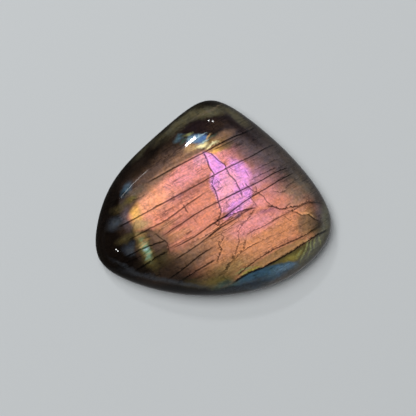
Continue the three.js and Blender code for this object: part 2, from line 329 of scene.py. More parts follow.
# Straight cleavages and wandering cracks, in mm from the stone's middle. Each is a dark line
# through its points, with its width, its darkness, how far it takes to fade out at its ends
# and its glint: how much brighter the stone is just beside it, a painted highlight.
Line = namedtuple("Line", "width darkness taper glint points")
CLEAVAGES = (
    Line(0.28, 0.85, 1.5, 0.3, ((-12.1, 2.5), (-7.8, 4.9), (-4.2, 6.8), (-0.4, 8.8), (3.1, 10.7),
                                (6.4, 12.1), (8.2, 13.3))),
    Line(0.18, 0.7, 0.8, 0.2, ((-0.1, 8.5), (2.8, 9.9), (4.8, 11.0))),
    Line(0.14, 0.4, 0.8, 0.0, ((3.3, 11.0), (6.0, 12.5), (7.2, 13.1))),
    Line(0.26, 0.8, 2.0, 0.1, ((-17.5, -5.6), (-13.3, -3.3), (-8.3, -0.6), (-2.9, 2.3), (2.4, 5.3),
                               (6.5, 7.3), (10.4, 9.4), (12.0, 9.9))),
    Line(0.26, 0.75, 2.5, 0.1, ((-16.4, -8.2), (-13.8, -6.8), (-11.6, -5.6), (-8.0, -3.7), (-5.3, -1.7),
                                (-3.3, -0.3), (-0.6, 1.5))),
    Line(0.14, 0.5, 0.8, 0.1, ((-10.1, -6.0), (-6.0, -3.5), (-5.1, -2.8))),
    Line(0.26, 0.85, 1.5, -0.1, ((-9.4, -7.0), (-5.6, -4.5), (-2.0, -2.2), (3.5, 0.6), (8.7, 3.2),
                                 (11.4, 4.7), (14.2, 5.6))),
    Line(0.16, 0.6, 0.8, 0.0, ((-8.8, -7.0), (-6.5, -5.4), (-5.1, -4.4))),
    Line(0.26, 0.85, 1.5, -0.15, ((-7.6, -9.1), (-3.7, -7.1), (-0.9, -5.2), (2.8, -2.8), (5.2, -0.9),
                                  (9.2, 1.6), (13.2, 3.9), (14.9, 4.7))),
    Line(0.24, 0.8, 1.0, 0.15, ((-6.9, -11.1), (-2.4, -8.1), (0.8, -5.6), (2.9, -4.4), (5.4, -2.8))),
    Line(0.22, 0.8, 1.0, 0.2, ((-1.5, -5.5), (1.3, -3.8), (4.4, -2.6), (7.7, -1.6))),
    Line(0.2, 0.75, 1.0, -0.2, ((-1.3, -7.5), (1.4, -5.3), (4.4, -3.3), (6.7, -2.0), (7.8, -1.8))),
    Line(0.16, 0.65, 0.5, 0.0, ((0.8, -6.4), (3.3, -4.9), (4.7, -3.8))),
    Line(0.16, 0.7, 0.5, 0.2, ((-2.4, -7.4), (-0.1, -5.9), (2.4, -4.2), (4.0, -3.3), (5.2, -2.7))),
    Line(0.14, 0.6, 0.4, 0.2, ((1.0, -5.1), (2.4, -4.0), (3.4, -3.3))),
    Line(0.14, 0.5, 0.5, 0.1, ((-0.6, -7.5), (1.7, -6.2), (3.7, -5.1))),
    Line(0.16, 0.5, 0.8, 0.2, ((-8.2, -9.2), (-5.6, -7.8), (-3.4, -6.7))),
    Line(0.14, 0.5, 0.8, 0.1, ((-9.4, -5.3), (-7.4, -4.1), (-5.0, -2.6))),
    Line(0.3, 0.85, 1.5, -0.1, ((-8.5, -14.9), (-5.4, -12.7), (-2.4, -10.3), (0.6, -8.4))),
    Line(0.3, 0.85, 1.2, 0.0, ((-6.2, -15.1), (-2.4, -12.7), (0.8, -10.7))),
    Line(0.2, 0.65, 1.2, 0.15, ((1.5, -13.5), (3.5, -11.3), (5.2, -9.6), (8.3, -7.8))),
    Line(0.28, 0.85, 1.0, -0.15, ((4.0, -14.2), (6.7, -11.9), (10.1, -9.6), (15.0, -7.4), (18.8, -5.5))),
    Line(0.38, 0.92, 1.0, 0.3, ((3.3, -15.5), (6.2, -13.6), (8.7, -12.6), (13.7, -9.8),
                                (17.4, -7.5), (21.0, -5.7))),
    Line(0.22, 0.75, 1.0, -0.1, ((5.6, -7.0), (6.4, -6.3), (9.2, -4.9), (12.5, -3.1), (14.8, -1.9),
                                 (17.0, -1.0), (20.1, -1.0))),
    Line(0.2, 0.7, 0.6, 0.0, ((6.3, 3.0), (8.6, 4.2), (11.4, 5.5))),
    Line(0.28, 0.85, 0.8, 0.1, ((-14.3, -13.3), (-11.6, -11.6), (-9.3, -10.2), (-8.0, -9.4))),
    Line(0.28, 0.85, 0.8, 0.1, ((-16.1, -10.9), (-13.5, -9.5), (-11.6, -8.7), (-8.2, -7.5))),
    Line(0.18, 0.6, 0.8, 0.0, ((-16.1, -11.9), (-13.0, -10.4), (-10.4, -8.6))),
    Line(0.14, 0.4, 0.8, 0.1, ((-7.9, -4.8), (-5.2, -2.9))),
    Line(0.14, 0.45, 0.8, 0.1, ((-8.2, -7.2), (-6.9, -6.3), (-5.1, -5.0))),
    Line(0.14, 0.45, 0.8, 0.1, ((-14.8, -5.9), (-13.6, -3.8))),
    Line(0.18, 0.5, 0.8, 0.2, ((-15.3, -0.8), (-13.3, 0.0), (-11.6, 0.8))),
    Line(0.16, 0.5, 0.8, 0.0, ((5.5, -9.3), (8.2, -7.9), (11.0, -6.6))),
    Line(0.16, 0.5, 0.8, 0.1, ((-0.6, -7.3), (2.1, -5.3))),
    Line(0.2, 0.55, 0.6, 0.1, ((7.4, 4.9), (10.2, 6.4), (12.4, 7.3))),
    Line(0.16, 0.45, 1.0, 0.1, ((-11.9, 5.2), (-8.6, 7.0), (-5.0, 9.2))),
    Line(0.14, 0.4, 1.0, 0.1, ((5.5, 9.3), (7.6, 10.5), (9.4, 11.3))),
    Line(0.14, 0.4, 1.0, 0.1, ((8.4, 7.0), (10.6, 8.0), (13.0, 9.0))),
    Line(0.14, 0.4, 1.0, 0.1, ((11.0, 4.9), (13.2, 6.2), (15.0, 6.9))),
    Line(0.14, 0.45, 0.8, 0.1, ((-12.6, -7.4), (-10.4, -6.5), (-8.6, -5.2))),
    Line(0.16, 0.5, 0.8, 0.1, ((-4.6, -8.6), (-2.2, -7.1), (0.2, -5.8))),
    # A light line: a painted glint along the cleavage just below it
    Line(0.3, -0.25, 1.0, 0.0, ((-2.6, 8.8), (0.0, 10.2), (2.2, 11.2))),
    # A light line: a painted glint along the crack just below it
    Line(0.2, -0.5, 0.8, 0.0, ((15.4, -2.75), (17.1, -2.75), (18.1, -3.5), (18.7, -4.0))),
    Line(0.2, -0.3, 0.6, 0.0, ((-16.5, 1.9), (-13.5, 3.6), (-11.0, 5.6))),
)
CRACKS = (
    Line(0.26, 0.8, 0.6, 0.15, ((-1.8, 8.2), (-1.2, 7.0), (-0.7, 5.4), (0.2, 4.1), (-0.3, 2.3), (0.4, 1.3),
                                (0.9, -0.7), (1.4, -2.3), (1.2, -3.8), (0.8, -5.9))),
    Line(0.24, 0.75, 0.5, 0.1, ((-1.2, 8.1), (-0.4, 7.9), (0.8, 6.7), (2.0, 5.9), (2.8, 4.1), (3.9, 3.1),
                                (4.2, 2.4), (5.0, 1.0), (5.2, -0.3))),
    Line(0.18, 0.55, 0.3, 0.0, ((2.1, 6.7), (2.1, 5.5))),
    Line(0.16, 0.45, 0.3, 0.0, ((1.5, 8.2), (1.9, 7.1))),
    Line(0.16, 0.5, 0.3, 0.0, ((2.6, 5.5), (3.5, 5.0), (4.3, 4.7))),
    Line(0.18, 0.45, 0.5, 0.1, ((5.4, 5.2), (5.9, 4.5), (6.4, 3.6))),
    Line(0.2, 0.65, 0.6, 0.1, ((5.4, 2.9), (6.2, 1.9), (6.9, 1.3), (7.9, 0.9), (9.0, 0.2),
                               (9.4, -0.6), (10.5, -1.5))),
    Line(0.18, 0.55, 0.3, 0.1, ((7.4, 2.2), (7.7, 1.5), (7.8, 1.0))),
    Line(0.18, 0.5, 0.3, 0.1, ((6.6, 1.4), (6.5, 0.6), (6.7, 0.0), (7.5, -1.1), (7.7, -1.7))),
    Line(0.22, 0.7, 0.8, 0.15, ((7.7, -1.8), (6.3, -3.6), (4.7, -5.4), (4.4, -6.5), (4.6, -7.7), (4.3, -9.1),
                                (3.5, -11.2), (2.4, -12.7))),
    Line(0.2, 0.65, 0.5, 0.1, ((5.8, -6.9), (5.7, -8.0), (5.4, -9.0), (3.1, -11.9), (1.7, -13.6))),
    Line(0.28, 0.8, 0.6, 0.15, ((1.4, -6.4), (1.9, -7.0), (0.9, -8.3), (1.5, -9.1),
                                (0.9, -10.6), (0.7, -11.8))),
    Line(0.2, 0.65, 0.3, 0.1, ((5.2, -0.9), (4.6, -2.2), (4.5, -2.6))),
    Line(0.18, 0.55, 0.3, 0.0, ((3.1, 0.0), (2.7, -0.6), (2.4, -1.0), (3.3, -1.8))),
    Line(0.3, 0.7, 0.5, 0.0, ((-5.5, -0.9), (-4.5, -2.8))),
    Line(0.26, 0.7, 0.8, 0.3, ((13.0, -2.2), (14.8, -2.6), (15.7, -3.1), (17.1, -3.0),
                               (18.2, -3.9), (19.6, -4.3))),
    Line(0.2, 0.6, 0.8, 0.1, ((10.2, 1.2), (11.3, 1.1), (12.3, 0.9), (13.0, 1.4), (13.5, 2.2), (14.6, 3.1),
                              (15.9, 3.8))),
    Line(0.34, 0.85, 0.6, 0.1, ((9.4, -1.6), (10.5, -1.5), (12.1, -2.0), (14.0, -1.7), (15.0, -1.6),
                                (16.1, -1.1), (17.1, -0.7), (18.2, -1.2))),
    Line(0.18, 0.5, 0.5, 0.1, ((12.6, -3.2), (13.7, -4.0), (14.6, -4.3))),
    Line(0.24, 0.65, 0.6, 0.0, ((-10.6, -6.2), (-9.4, -7.2), (-8.2, -8.0), (-7.7, -10.0))),
    Line(0.16, 0.45, 0.5, 0.1, ((-8.7, 2.6), (-7.6, 2.1), (-6.7, 2.1))),
    Line(0.16, 0.4, 0.3, 0.1, ((-10.7, 0.3), (-10.1, -0.1))),
    Line(0.16, 0.5, 0.3, 0.1, ((1.8, 1.9), (1.5, 1.4), (1.2, 0.8))),
    Line(0.14, 0.4, 0.3, 0.1, ((1.4, 2.1), (0.8, 1.0))),
    Line(0.14, 0.5, 0.3, 0.2, ((3.4, 4.6), (3.9, 3.9), (4.8, 3.6))),
    Line(0.14, 0.5, 0.3, 0.2, ((5.1, 2.7), (5.5, 1.9), (5.6, 1.2))),
    Line(0.14, 0.45, 0.3, 0.2, ((0.6, 3.2), (1.2, 2.6), (1.5, 2.0))),
    Line(0.14, 0.45, 0.3, 0.2, ((2.9, 1.9), (3.5, 1.2), (3.6, 0.4))),
    Line(0.3, 0.75, 0.3, 0.0, ((0.6, -4.7), (0.9, -5.2), (0.7, -5.9))),
    Line(0.16, 0.5, 0.3, 0.1, ((-9.1, -3.5), (-8.2, -3.0), (-7.9, -2.2))),
    Line(0.16, 0.4, 0.4, 0.1, ((-3.6, -3.6), (-3.0, -4.2), (-2.8, -5.0))),
)


def linear(hex_colour):
    """The linear red, green and blue of an sRGB hex colour."""
    shares = [int(hex_colour[place : place + 2], 16) / 255 for place in (1, 3, 5)]
    return [share / 12.92 if share <= 0.04045 else ((share + 0.055) / 1.055) ** 2.4 for share in shares]


def tone(name, description, hex_colour):
    """A property that holds a colour."""
    return FloatVectorProperty(
        name=name,
        description=description,
        subtype="COLOR",
        size=3,
        min=0,
        max=1,
        default=linear(hex_colour),
    )


def length(name, description, millimetres):
    """A property that holds a length."""
    return FloatProperty(name=name, description=description, unit="LENGTH", default=millimetres * MM)


class CabochonShape(bpy.types.PropertyGroup):
    """The sizes of the cut stone."""

    girdle_height: length("Girdle height", "The stone's widest line, above its back", GIRDLE_HEIGHT)
    wall_foot: length("Wall foot", "Where the side wall ends and the bevel begins", 0.85)
    wall_lean: length("Wall lean", "How far the wall's foot stands inside the girdle", 0.18)
    bevel_width: length("Bevel width", "Of the bevel round the flat back", 0.8)
    crown_fullness: FloatProperty(
        name="Crown fullness",
        description="0 is an ellipsoid's dome; more is flatter on top",
        default=0.3,
    )
    polish_waviness: length("Polish waviness", "Depth of the hand-polished dome's hollows", 0.005)
    cells: IntProperty(
        name="Cells",
        description="How many squares cross the dome's mesh",
        default=160,
        min=8,
        max=180,
    )


class CabochonTones(bpy.types.PropertyGroup):
    """The colours of the stone."""

    # Along the left rim also partly painted shade
    soot: tone("Soot", "The body's darkest parts", "#110C09")
    smoke: tone("Smoke", "The translucent body", "#413934")
    plum_black: tone("Plum black", "The dark crown of the body", "#211819")
    umber: tone("Umber", "Warm dark body", "#33271F")
    cocoa: tone("Cocoa", "Body near the flash", "#5E4A40")
    fawn: tone("Fawn", "Body at the flash's edge", "#8A6853")
    pale_brown: tone("Pale brown", "Flash that greys into the body", "#9A7F6A")
    taupe: tone("Taupe", "Body seen through a gap in the flash", "#594539")
    # Also painted reflection and painted light on the rim
    drab: tone("Drab", "Pale smoky body", "#665A4C")
    mauve_grey: tone("Mauve grey", "Body beyond the flash", "#5E5153")
    olive_grey: tone("Olive grey", "The thin rim", "#201F1A")
    olive_brown: tone("Olive brown", "Dull flash near the rim", "#4A4128")
    lichen: tone("Lichen", "Pale olive body along the rim", "#57533F")
    # Painted light on the thin rim at the right
    painted_rim_light: tone("Pale lichen", "Where the rim lets light through", "#75755F")
    # Also painted reflection along the rim's foot
    slate: tone("Slate", "Faint blue in the body", "#3A3F45")
    slate_blue: tone("Slate blue", "Dim blue flash", "#45606C")
    navy: tone("Navy", "Deepest blue flash", "#232E38")
    steel_blue: tone("Steel blue", "Blue flash", "#3A586A")
    cobalt: tone("Cobalt", "Clear blue flash", "#4B6C9E")
    sky: tone("Sky", "Bright blue flash", "#66859C")
    ice_blue: tone("Ice blue", "Palest blue flash", "#A9C6CC")
    sea_green: tone("Sea green", "Green flash", "#7FA88E")
    sea_green_dark: tone("Dark sea green", "Dim green flash", "#3C5549")
    sage: tone("Sage", "Grey-green flash", "#7E8A64")
    celadon: tone("Celadon", "Pale green flash", "#969A66")
    olive: tone("Olive", "Dim yellow-green flash", "#63582F")
    olive_gold: tone("Olive gold", "Yellow-green flash", "#968A44")
    cream: tone("Cream", "Palest yellow flash", "#E2D8A6")
    gold: tone("Gold", "Golden flash", "#E9B266")
    straw: tone("Straw", "Pale golden flash", "#BE9B6C")
    ochre: tone("Ochre", "Brown-gold flash", "#99794E")
    bronze: tone("Bronze", "Dim orange flash", "#846651")
    tan: tone("Tan", "Orange-brown flash", "#BF8764")
    tangerine: tone("Tangerine", "Orange flash", "#D89269")
    apricot: tone("Apricot", "Bright orange flash", "#F0A480")
    salmon: tone("Salmon", "The flash's main colour", "#DB8C75")
    brick: tone("Brick", "Dim red flash", "#BA776A")
    old_rose: tone("Old rose", "Quiet rose flash", "#C88480")
    dusky_rose: tone("Dusky rose", "Rose that fades into the body", "#A67879")
    rose: tone("Rose", "Rose flash", "#E79695")
    pale_pink: tone("Pale pink", "Light pink flash", "#F2A8B8")
    pink: tone("Pink", "Pink flash", "#F3A6CC")
    orchid: tone("Orchid", "Violet flash", "#EA9EE2")
    mauve: tone("Mauve", "Greying violet flash", "#B885A2")
    wine: tone("Wine", "Dim violet flash", "#9A5F70")
    lapped_grey: tone("Lapped grey", "The matt back", "#56564F")
    lapped_green: tone("Lapped green", "Greener clouds in the matt back", "#474B40")


class TableSettings(bpy.types.PropertyGroup):
    """The table under the stone and its lamps."""

    board: tone("Board", "The pale table", "#C6CACC")
    soft_light: FloatProperty(
        name="Soft light",
        description="Brightness of the broad light overhead",
        default=6.4,
        min=0,
    )
    key_light: FloatProperty(
        name="Key light",
        description="Brightness of the small softbox that the dome mirrors",
        default=60.0,
        min=0,
    )


def add(tree, kind, inputs=None, **settings):
    """Adds a node with its settings. An input is given a value, a socket or a node, whose first
    output it takes."""
    node = tree.nodes.new(kind)
    for name, value in settings.items():
        setattr(node, name, value)
    for name, value in (inputs or {}).items():
        if isinstance(value, bpy.types.Node):
            value = next(socket for socket in value.outputs if socket.enabled)
        if isinstance(value, bpy.types.NodeSocket):
            tree.links.new(value, node.inputs[name])
        else:
            node.inputs[name].default_value = value
    return node


def new_group(name, vectors, numbers, output):
    """A shader node group with vector and number inputs and one number as its output."""
    group = bpy.data.node_groups.new(name, "ShaderNodeTree")
    for label in vectors:
        group.interface.new_socket(label, in_out="INPUT", socket_type="NodeSocketVector")
    for label in numbers:
        group.interface.new_socket(label, in_out="INPUT", socket_type="NodeSocketFloat")
    group.interface.new_socket(output, in_out="OUTPUT", socket_type="NodeSocketFloat")
    return group


def zone_group():
    """Inside a soft-edged ellipse the share is its strength, and outside it 0."""
    vectors = ("Place", "Middle", "Half size")
    group = new_group("Zone share", vectors, ("Turn", "Edge", "Strength"), "Share")
    given = add(group, "NodeGroupInput").outputs
    offset = add(
        group,
        "ShaderNodeVectorMath",
        {0: given["Place"], 1: given["Middle"]},
        operation="SUBTRACT",
    )
    turned = add(
        group,
        "ShaderNodeVectorRotate",
        {"Vector": offset, "Angle": given["Turn"]},
        rotation_type="Z_AXIS",
        invert=True,
    )
    scaled = add(group, "ShaderNodeVectorMath", {0: turned, 1: given["Half size"]}, operation="DIVIDE")
    distance = add(group, "ShaderNodeVectorMath", {0: scaled}, operation="LENGTH")
    core = add(group, "ShaderNodeMath", {0: 1.0, 1: given["Edge"]}, operation="SUBTRACT")
    rim = add(group, "ShaderNodeMath", {0: 1.0, 1: given["Edge"]}, operation="ADD")
    share = add(
        group,
        "ShaderNodeMapRange",
        {"Value": distance, "From Min": rim, "From Max": core, "To Min": 0.0, "To Max": given["Strength"]},
        interpolation_type="SMOOTHSTEP",
    )
    add(group, "NodeGroupOutput", {"Share": share})
    return group


def line_group():
    """How bright the stone is at a line: dark on it, brighter just beside it with a painted glint, and
    1 away from it. Off is the distance from the line, and Along runs its length."""
    numbers = ("Along", "Off", "Start", "End", "Taper", "Half width", "Darkness", "Glint")
    group = new_group("Line brightness", (), numbers, "Brightness")
    given = add(group, "NodeGroupInput").outputs
    half_width = given["Half width"]
    # In half widths: where the darkness begins, where it is full, and how far aside the painted glint is
    begins, full, glint_aside = 1.5, 0.3, -2.4
    brim = add(group, "ShaderNodeMath", {0: half_width, 1: begins}, operation="MULTIPLY")
    core = add(group, "ShaderNodeMath", {0: half_width, 1: full}, operation="MULTIPLY")
    gap = add(group, "ShaderNodeMath", {0: given["Off"]}, operation="ABSOLUTE")
    dark = add(
        group,
        "ShaderNodeMapRange",
        {"Value": gap, "From Min": brim, "From Max": core, "To Max": given["Darkness"]},
        interpolation_type="SMOOTHSTEP",
    )
    aside = add(
        group,
        "ShaderNodeMath",
        {0: half_width, 1: glint_aside, 2: given["Off"]},
        operation="MULTIPLY_ADD",
    )
    beside = add(group, "ShaderNodeMath", {0: aside}, operation="ABSOLUTE")
    bright = add(
        group,
        "ShaderNodeMapRange",
        {"Value": beside, "From Min": brim, "From Max": core, "To Max": given["Glint"]},
        interpolation_type="SMOOTHSTEP",
    )
    along, start, end = given["Along"], given["Start"], given["End"]
    begun = add(group, "ShaderNodeMath", {0: start, 1: given["Taper"]}, operation="ADD")
    ended = add(group, "ShaderNodeMath", {0: end, 1: given["Taper"]}, operation="SUBTRACT")
    first = add(group, "ShaderNodeMapRange", {"Value": along, "From Min": start, "From Max": begun})
    last = add(group, "ShaderNodeMapRange", {"Value": along, "From Min": end, "From Max": ended})
    ends = add(group, "ShaderNodeMath", {0: first, 1: last}, operation="MULTIPLY")
    change = add(group, "ShaderNodeMath", {0: bright, 1: dark}, operation="SUBTRACT")
    brightness = add(group, "ShaderNodeMath", {0: ends, 1: change, 2: 1.0}, operation="MULTIPLY_ADD")
    add(group, "NodeGroupOutput", {"Brightness": brightness})
    return group


def turned_axes(first, last):
    """The unit vectors along and across the way from one point to another."""
    bearing = math.atan2(last[1] - first[1], last[0] - first[0])
    cosine, sine = math.cos(bearing), math.sin(bearing)
    return Vector((cosine, sine, 0)), Vector((-sine, cosine, 0))


def inward(first, last):
    """Dotted with a place of height 1, this gives how far the place is to the left of a line
    through two points."""
    across = turned_axes(first, last)[1]
    return Vector((across.x, across.y, -across.xy.dot(first)))


def zone_share(tree, group, place, zone):
    """How much of an ellipse of colour shows at a place."""
    return add(
        tree,
        "ShaderNodeGroup",
        {
            "Place": place,
            "Middle": (zone.x, zone.y, 1),
            "Half size": (zone.half_length, zone.half_width, 1),
            "Turn": math.radians(zone.bearing),
            "Edge": zone.edge,
            "Strength": zone.strength,
        },
        node_tree=group,
    )


def patch_share(tree, place, patch):
    """How much of a straight-sided patch of colour shows at a place."""
    depth = None
    for first, last in zip(patch.corners, patch.corners[1:] + patch.corners[:1]):
        way = inward(first, last)
        inside = add(tree, "ShaderNodeVectorMath", {0: place, 1: way}, operation="DOT_PRODUCT")
        if depth:
            depth = add(tree, "ShaderNodeMath", {0: depth, 1: inside}, operation="MINIMUM")
        else:
            depth = inside
    half = patch.edge / 2
    return add(
        tree,
        "ShaderNodeMapRange",
        {"Value": depth, "From Min": -half, "From Max": half, "To Max": patch.strength},
        interpolation_type="SMOOTHSTEP",
    )


def line_brightness(tree, group, place, line, handle):
    """How bright a line leaves the stone: its route is a curve over the way from end to end."""
    along_axis, across_axis = turned_axes(line.points[0], line.points[-1])
    along = add(tree, "ShaderNodeVectorMath", {0: place, 1: along_axis}, operation="DOT_PRODUCT")
    across = add(tree, "ShaderNodeVectorMath", {0: place, 1: across_axis}, operation="DOT_PRODUCT")
    way = [(along_axis.xy.dot(point), across_axis.xy.dot(point)) for point in line.points]
    route = add(tree, "ShaderNodeFloatCurve", {"Value": along})
    route.mapping.use_clip = False
    curve = route.mapping.curves[0]
    curve.points[0].location = way[0]
    curve.points[1].location = way[-1]
    for stop in way[1:-1]:
        curve.points.new(*stop)
    for stop in curve.points:
        stop.handle_type = handle
    route.mapping.update()
    off = add(tree, "ShaderNodeMath", {0: across, 1: route}, operation="SUBTRACT")
    return add(
        tree,
        "ShaderNodeGroup",
        {
            "Along": along,
            "Off": off,
            "Start": way[0][0],
            "End": way[-1][0],
            "Taper": line.taper,
            "Half width": line.width / 2,
            "Darkness": line.darkness,
            "Glint": line.glint,
        },
        node_tree=group,
    )


def wandering(tree, place, scale, reach, detail=2.0):
    """The place, moved about by noise: scale is in waves to the mm, and reach in mm."""
    noise = add(tree, "ShaderNodeTexNoise", {"Vector": place, "Scale": scale, "Detail": detail})
    noise_mean = (0.5, 0.5, 0.5)
    centred = add(
        tree,
        "ShaderNodeVectorMath",
        {0: noise.outputs["Color"], 1: noise_mean},
        operation="SUBTRACT",
    )
    return add(
        tree,
        "ShaderNodeVectorMath",
        {0: centred, 1: (reach, reach, 0), 2: place},
        operation="MULTIPLY_ADD",
    )


def drawn_out(tree, place, bearing, along, across, seed=0.0):
    """The place turned to a bearing and scaled along and across it, so that a pattern there runs
    along it. A seed moves it to another part of the pattern."""
    turned = add(
        tree,
        "ShaderNodeVectorRotate",
        {"Vector": place, "Angle": math.radians(bearing)},
        rotation_type="Z_AXIS",
        invert=True,
    )
    return add(
        tree,
        "ShaderNodeVectorMath",
        {0: turned, 1: (along, across, across), 2: (seed, seed, seed)},
        operation="MULTIPLY_ADD",
    )


def grain(tree, place, scale, low, high):
    """A brightness that noise sways between two bounds. The scale is in waves to the mm."""
    noise = add(
        tree,
        "ShaderNodeTexNoise",
        {"Vector": place, "Scale": scale, "Detail": 4.0, "Roughness": 0.6},
    )
    return add(
        tree,
        "ShaderNodeMapRange",
        {"Value": noise, "From Min": NOISE_LOW, "From Max": NOISE_HIGH, "To Min": low, "To Max": high},
    )


def hairlines(tree, place, bearing, spacing, darkness, seed):
    """The brightness left by fine lines that run along a bearing and come and go. A line lies where
    drawn-out noise passes its mean, and shows where broader noise is high."""
    drawn = drawn_out(tree, place, bearing, along=0.06 / spacing, across=1 / spacing, seed=seed)
    noise = add(tree, "ShaderNodeTexNoise", {"Vector": drawn, "Scale": 1.0, "Detail": 1.0})
    noise_mean = 0.5
    centred = add(tree, "ShaderNodeMath", {0: noise, 1: noise_mean}, operation="SUBTRACT")
    gap = add(tree, "ShaderNodeMath", {0: centred}, operation="ABSOLUTE")
    line = add(tree, "ShaderNodeMapRange", {"Value": gap, "From Min": 0.025, "From Max": 0.008})
    shown = add(tree, "ShaderNodeTexNoise", {"Vector": place, "Scale": 0.5, "Detail": 2.0})
    share = add(
        tree,
        "ShaderNodeMapRange",
        {"Value": shown, "From Min": 0.4, "From Max": 0.56, "To Max": darkness},
    )
    dark = add(tree, "ShaderNodeMath", {0: line, 1: share}, operation="MULTIPLY")
    return add(tree, "ShaderNodeMath", {0: 1.0, 1: dark}, operation="SUBTRACT")


def crackle(tree, place, darkness, seed):
    """The brightness left by short dark strokes, about 1 mm apart, where the layers have chipped."""
    ragged = wandering(tree, place, scale=0.9, reach=1.0, detail=3.0)
    drawn = drawn_out(tree, ragged, CLEAVAGE_BEARING, along=0.7, across=1.2, seed=seed)
    cells = add(
        tree,
        "ShaderNodeTexVoronoi",
        {"Vector": drawn, "Scale": 1.0},
        feature="DISTANCE_TO_EDGE",
    )
    edge = add(tree, "ShaderNodeMapRange", {"Value": cells, "From Min": 0.09, "From Max": 0.02})
    shown = add(tree, "ShaderNodeTexNoise", {"Vector": place, "Scale": 0.5, "Detail": 3.0})
    share = add(
        tree,
        "ShaderNodeMapRange",
        {"Value": shown, "From Min": 0.46, "From Max": 0.6, "To Max": darkness},
    )
    dark = add(tree, "ShaderNodeMath", {0: edge, 1: share}, operation="MULTIPLY")
    return add(tree, "ShaderNodeMath", {0: 1.0, 1: dark}, operation="SUBTRACT")


def product(tree, factors):
    """All brightnesses multiplied together, each as soon as it is made: a shader holds only so
    many at once."""
    whole = None
    for factor in factors:
        if whole:
            whole = add(tree, "ShaderNodeMath", {0: whole, 1: factor}, operation="MULTIPLY")
        else:
            whole = factor
    return whole


def painted(tree, ground, tones, marks, zones, soft_place, sharp_place):
    """Lays coloured marks over a ground, in order."""
    for mark in marks:
        if isinstance(mark, Zone):
            share = zone_share(tree, zones, soft_place, mark)
        else:
            share = patch_share(tree, sharp_place, mark)
        colour = (*getattr(tones, mark.tone), 1)
        ground = add(tree, "ShaderNodeMix", {"Factor": share, 6: ground, 7: colour}, data_type="RGBA")
    return ground


def side_share(tree, place, streaks, side):
    """How much of the broad flash one of its sides lets show at a place."""
    toward = -inward(side.start, side.end)
    depth = add(tree, "ShaderNodeVectorMath", {0: place, 1: toward}, operation="DOT_PRODUCT")
    swayed = add(tree, "ShaderNodeMath", {0: streaks, 1: side.fade, 2: depth}, operation="MULTIPLY_ADD")
    return add(
        tree,
        "ShaderNodeMapRange",
        {"Value": swayed, "From Min": -side.fade / 2, "From Max": side.fade / 2},
        interpolation_type="SMOOTHSTEP",
    )


def texture_shades(tree, place, plan):
    """The brightness of the stone's fine texture, one pattern after another."""
    yield grain(tree, place, scale=2.3, low=0.82, high=1.18)
    along_layers = drawn_out(tree, place, CLEAVAGE_BEARING, along=0.3, across=2.4, seed=7.0)
    yield grain(tree, along_layers, scale=1.0, low=0.9, high=1.1)
    over_layers = drawn_out(tree, place, CLEAVAGE_BEARING - 75, along=0.9, across=5.0, seed=3.0)
    yield grain(tree, over_layers, scale=1.0, low=0.94, high=1.06)
    yield hairlines(tree, plan, CLEAVAGE_BEARING, spacing=0.9, darkness=0.4, seed=11.0)
    yield hairlines(tree, plan, CLEAVAGE_BEARING + 3, spacing=0.5, darkness=0.25, seed=5.0)
    yield crackle(tree, plan, darkness=0.32, seed=2.0)


def lined(tree, place, shade):
    """The brightness once the cleavages and cracks are drawn. Each batch steps aside a little where
    it crosses the darkness before it, and so waits for it: a shader holds only so many values at
    once."""
    group = line_group()
    drawn = [(line, "AUTO") for line in CLEAVAGES] + [(line, "VECTOR") for line in CRACKS]
    batch = 10
    step_aside = (0.1, -0.1, 0)
    for number, (line, handle) in enumerate(drawn):
        if number % batch == 0:
            dark = add(tree, "ShaderNodeMath", {0: 1.0, 1: shade}, operation="SUBTRACT")
            place = add(
                tree,
                "ShaderNodeVectorMath",
                {0: dark, 1: step_aside, 2: place},
                operation="MULTIPLY_ADD",
            )
        brightness = line_brightness(tree, group, place, line, handle)
        shade = add(tree, "ShaderNodeMath", {0: shade, 1: brightness}, operation="MULTIPLY")
    return shade


